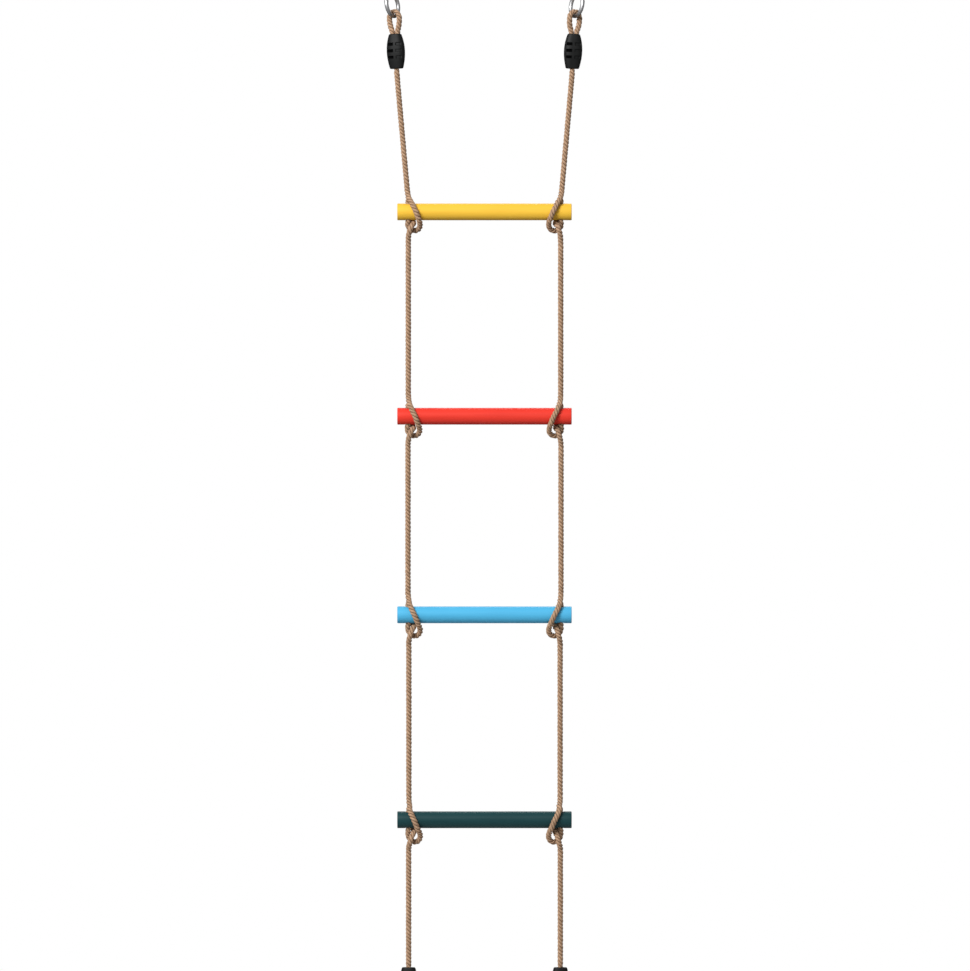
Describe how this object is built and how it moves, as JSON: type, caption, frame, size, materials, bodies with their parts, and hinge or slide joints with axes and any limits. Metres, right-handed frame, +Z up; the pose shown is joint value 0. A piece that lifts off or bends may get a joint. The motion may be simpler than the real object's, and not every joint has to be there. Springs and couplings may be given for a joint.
{
  "type": "rope ladder",
  "caption": "Climbing rope ladder with coloured round rungs knotted on two laid ropes, barrel clamps, rope eyes and hanging rings.",
  "frame": {"origin": "midway between the tops of the two hanging rings, where the ladder is held", "axes": "+Z up along the hanging ladder, +X to the right seen from the front, +Y away from the front"},
  "size_m": [0.3462, 0.0489, 1.7926],
  "materials": {
    "rung_1_paint": "yellow lacquer on turned wood, half gloss",
    "rung_2_paint": "red lacquer on turned wood, half gloss",
    "rung_3_paint": "light blue lacquer on turned wood, half gloss",
    "rung_4_paint": "dark green lacquer on turned wood, half gloss",
    "rope": "tan laid rope of three strands, spun fibre, matt",
    "clamp_plastic": "black moulded plastic, fine spark texture",
    "ring_steel": "welded round steel wire, zinc plated"
  },
  "bodies": {
    "rings": {"ring_left": "ring_steel", "ring_right": "ring_steel"},
    "hangers": {"top_eye_left": "rope", "top_eye_right": "rope", "top_clamp_front_left": "clamp_plastic", "top_clamp_front_right": "clamp_plastic", "top_clamp_rear_left": "clamp_plastic", "top_clamp_rear_right": "clamp_plastic"},
    "top_ropes": {"rope_1_left": "rope", "rope_1_right": "rope"},
    "step_1": {"rung_1": "rung_1_paint", "knot_1_left": "rope", "knot_1_right": "rope"},
    "ropes_below_1": {"rope_2_left": "rope", "rope_2_right": "rope"},
    "step_2": {"rung_2": "rung_2_paint", "knot_2_left": "rope", "knot_2_right": "rope"},
    "ropes_below_2": {"rope_3_left": "rope", "rope_3_right": "rope"},
    "step_3": {"rung_3": "rung_3_paint", "knot_3_left": "rope", "knot_3_right": "rope"},
    "ropes_below_3": {"rope_4_left": "rope", "rope_4_right": "rope"},
    "step_4": {"rung_4": "rung_4_paint", "knot_4_left": "rope", "knot_4_right": "rope"},
    "tail_ropes": {"rope_5_left": "rope", "rope_5_right": "rope"},
    "anchors": {"bottom_eye_left": "rope", "bottom_eye_right": "rope", "bottom_clamp_front_left": "clamp_plastic", "bottom_clamp_front_right": "clamp_plastic", "bottom_clamp_rear_left": "clamp_plastic", "bottom_clamp_rear_right": "clamp_plastic"}
  },
  "joints": [
    {"name": "eye_swing", "type": "hinge", "parent": "rings", "child": "hangers", "pos_m": [0, 0, -0.03839], "axis": [1, 0, 0], "range_deg": [-10, 10]},
    {"name": "top_bend", "type": "hinge", "parent": "hangers", "child": "top_ropes", "pos_m": [0, 0, -0.1435], "axis": [1, 0, 0], "range_deg": [-75, 75]},
    {"name": "bend_above_1", "type": "hinge", "parent": "top_ropes", "child": "step_1", "pos_m": [0, 0, -0.339], "axis": [-1, 0, 0], "range_deg": [-90, 90]},
    {"name": "bend_below_1", "type": "hinge", "parent": "step_1", "child": "ropes_below_1", "pos_m": [0, 0, -0.443], "axis": [-1, 0, 0], "range_deg": [-90, 90]},
    {"name": "bend_above_2", "type": "hinge", "parent": "ropes_below_1", "child": "step_2", "pos_m": [0, 0, -0.693], "axis": [1, 0, 0], "range_deg": [-90, 90]},
    {"name": "bend_below_2", "type": "hinge", "parent": "step_2", "child": "ropes_below_2", "pos_m": [0, 0, -0.797], "axis": [1, 0, 0], "range_deg": [-90, 90]},
    {"name": "bend_above_3", "type": "hinge", "parent": "ropes_below_2", "child": "step_3", "pos_m": [0, 0, -1.037], "axis": [-1, 0, 0], "range_deg": [-90, 90]},
    {"name": "bend_below_3", "type": "hinge", "parent": "step_3", "child": "ropes_below_3", "pos_m": [0, 0, -1.141], "axis": [-1, 0, 0], "range_deg": [-90, 90]},
    {"name": "bend_above_4", "type": "hinge", "parent": "ropes_below_3", "child": "step_4", "pos_m": [0, 0, -1.392], "axis": [1, 0, 0], "range_deg": [-90, 90]},
    {"name": "bend_below_4", "type": "hinge", "parent": "step_4", "child": "tail_ropes", "pos_m": [0, 0, -1.496], "axis": [1, 0, 0], "range_deg": [-90, 90]},
    {"name": "anchor_bend", "type": "hinge", "parent": "tail_ropes", "child": "anchors", "pos_m": [0, 0, -1.679], "axis": [-1, 0, 0], "range_deg": [-75, 75]}
  ]
}
